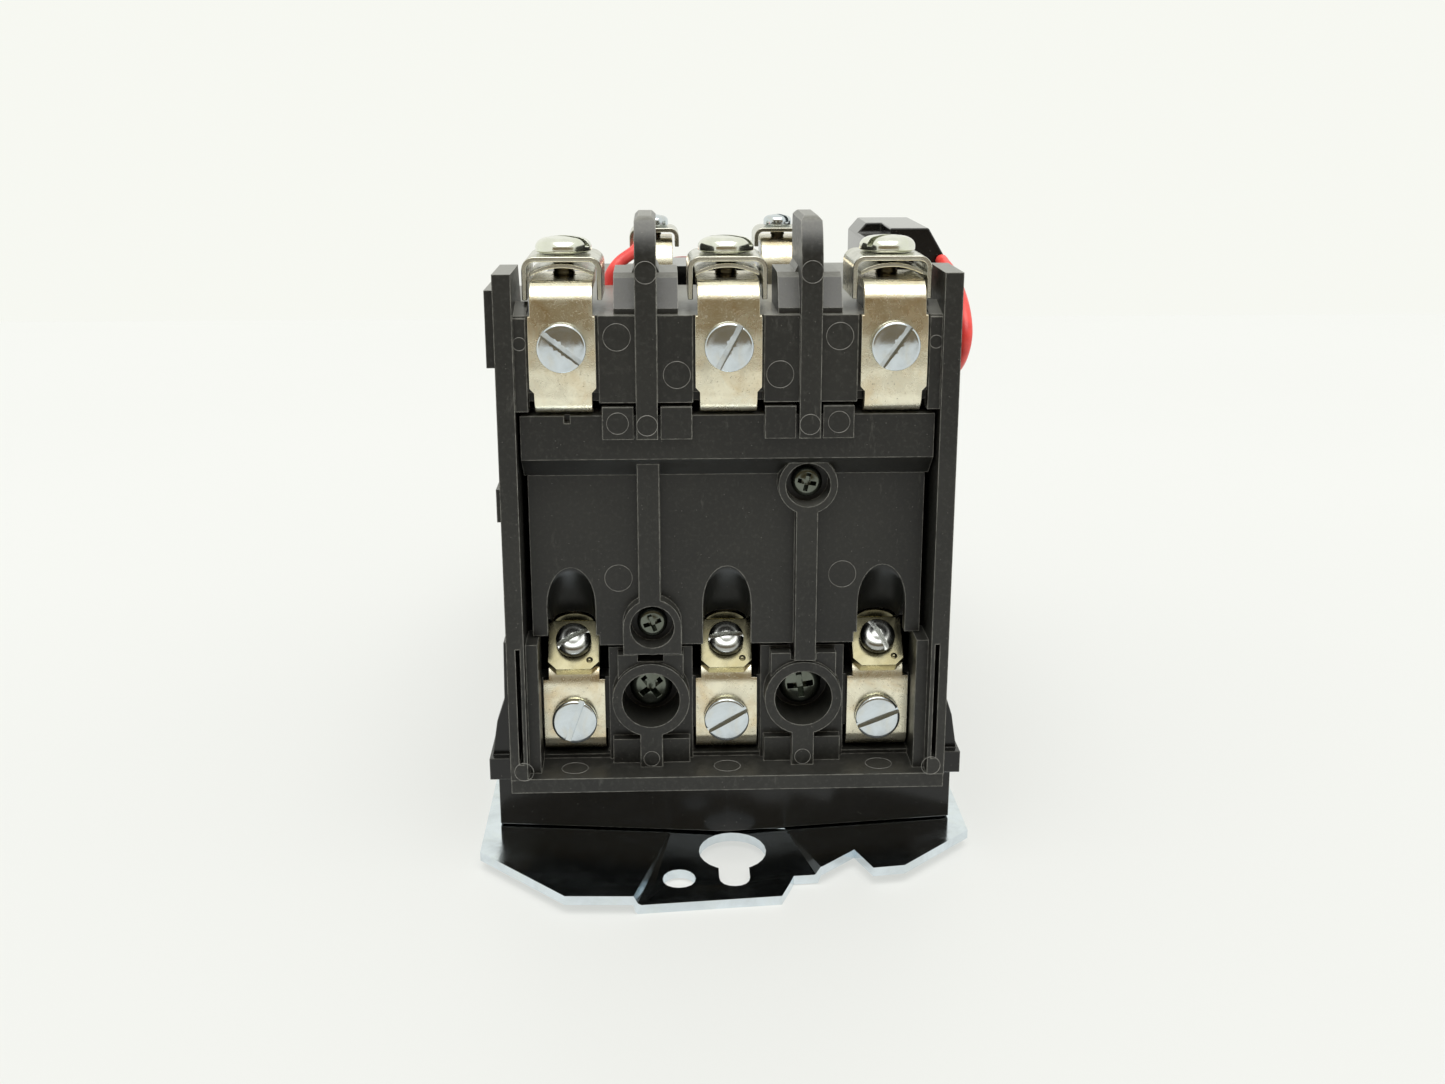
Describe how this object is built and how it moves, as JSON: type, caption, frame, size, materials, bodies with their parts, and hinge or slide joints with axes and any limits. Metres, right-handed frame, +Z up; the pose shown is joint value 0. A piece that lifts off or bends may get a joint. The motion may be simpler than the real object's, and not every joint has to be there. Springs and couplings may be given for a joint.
{
  "type": "magnetic motor starter",
  "caption": "Open-type three-pole magnetic motor starter on a zinc plate, with screw terminals, a moving contact carrier, coil and overload relay.",
  "frame": {"origin": "centre of the footprint, on the surface that the mounting plate's feet stand on", "axes": "+Z up off the mounting surface, +X across the poles to the right as seen from the line end, +Y from the line end to the load end"},
  "size_m": [0.0904, 0.187, 0.1171],
  "materials": {
    "dark_moulding": "dark grey thermoset moulding, satin, paler on edges and top faces",
    "glossy_moulding": "black moulding, smoother",
    "bluish_zinc": "bright bluish zinc plating, near mirror",
    "zinc_screw": "bright zinc plated screws",
    "tinned_strap": "dull tin plating with warm stains and dark specks",
    "chromated_clamp": "zinc plating with a yellow-green chromate tint",
    "contact_silver": "copper bar with silver contact tips, plated",
    "spring_wire": "drawn spring wire",
    "laminations": "stacked electrical steel laminations, ground pole faces",
    "red_insulation": "coral red wire insulation",
    "red_button": "brown-grey reset button cap"
  },
  "bodies": {
    "frame": {"mounting_plate": "bluish_zinc", "base_housing": "dark_moulding", "contact_board": "dark_moulding", "arc_cover": "dark_moulding", "line_strap_1": "tinned_strap", "line_pressure_plate_1": "chromated_clamp", "line_saddle_1": "chromated_clamp", "line_terminal_screw_1": "zinc_screw", "line_strap_screw_1": "zinc_screw", "load_strap_1": "tinned_strap", "load_clamp_plate_1": "chromated_clamp", "load_terminal_screw_1": "zinc_screw", "load_strap_screw_1": "zinc_screw", "heater_1": "tinned_strap", "line_strap_2": "tinned_strap", "line_pressure_plate_2": "chromated_clamp", "line_saddle_2": "chromated_clamp", "line_terminal_screw_2": "zinc_screw", "line_strap_screw_2": "zinc_screw", "load_strap_2": "tinned_strap", "load_clamp_plate_2": "chromated_clamp", "load_terminal_screw_2": "zinc_screw", "load_strap_screw_2": "zinc_screw", "heater_2": "tinned_strap", "line_strap_3": "tinned_strap", "line_pressure_plate_3": "chromated_clamp", "line_saddle_3": "chromated_clamp", "line_terminal_screw_3": "zinc_screw", "line_strap_screw_3": "zinc_screw", "load_strap_3": "tinned_strap", "load_clamp_plate_3": "chromated_clamp", "load_terminal_screw_3": "zinc_screw", "load_strap_screw_3": "zinc_screw", "heater_3": "tinned_strap", "cover_screw_1": "zinc_screw", "cover_screw_2": "zinc_screw", "base_screw_1": "zinc_screw", "base_screw_2": "zinc_screw", "magnet_core": "laminations", "coil": "glossy_moulding", "return_spring": "spring_wire", "coil_terminal_1": "tinned_strap", "coil_terminal_2": "tinned_strap", "coil_terminal_screw_1": "zinc_screw", "coil_terminal_screw_2": "zinc_screw", "coil_cover": "dark_moulding", "aux_contact_block": "glossy_moulding", "overload_housing": "dark_moulding", "coil_lead": "red_insulation", "aux_lead": "red_insulation"},
    "carrier": {"contact_carrier": "glossy_moulding", "armature": "laminations", "contact_spring_1": "spring_wire", "contact_spring_2": "spring_wire", "contact_spring_3": "spring_wire"},
    "bridge_1": {"bridge_contact_1": "contact_silver"},
    "bridge_2": {"bridge_contact_2": "contact_silver"},
    "bridge_3": {"bridge_contact_3": "contact_silver"},
    "aux_slider": {"aux_plunger": "glossy_moulding"},
    "reset": {"reset_button": "red_button"}
  },
  "joints": [
    {"name": "carrier_slide", "type": "slide", "parent": "frame", "child": "carrier", "axis": [0, -1, 0], "range_m": [0, 0.005], "stiffness_N_per_m": 400, "springref_m": -0.01, "deforming": ["return_spring"]},
    {"name": "bridge_1_slide", "type": "slide", "parent": "carrier", "child": "bridge_1", "axis": [0, 1, 0], "range_m": [0, 0.0015], "stiffness_N_per_m": 300, "springref_m": -0.003, "deforming": ["contact_spring_1"]},
    {"name": "bridge_2_slide", "type": "slide", "parent": "carrier", "child": "bridge_2", "axis": [0, 1, 0], "range_m": [0, 0.0015], "stiffness_N_per_m": 300, "springref_m": -0.003, "deforming": ["contact_spring_2"]},
    {"name": "bridge_3_slide", "type": "slide", "parent": "carrier", "child": "bridge_3", "axis": [0, 1, 0], "range_m": [0, 0.0015], "stiffness_N_per_m": 300, "springref_m": -0.003, "deforming": ["contact_spring_3"]},
    {"name": "aux_plunger_slide", "type": "slide", "parent": "frame", "child": "aux_slider", "axis": [0, -1, 0], "range_m": [0, 0.005]},
    {"name": "reset_slide", "type": "slide", "parent": "frame", "child": "reset", "axis": [0, 0, -1], "range_m": [0, 0.004], "stiffness_N_per_m": 500, "springref_m": -0.002}
  ],
  "couplings": [
    {"joint": "bridge_1_slide", "follows": "carrier_slide", "ratio": 0.3},
    {"joint": "bridge_2_slide", "follows": "carrier_slide", "ratio": 0.3},
    {"joint": "bridge_3_slide", "follows": "carrier_slide", "ratio": 0.3},
    {"joint": "aux_plunger_slide", "follows": "carrier_slide", "ratio": 1}
  ]
}
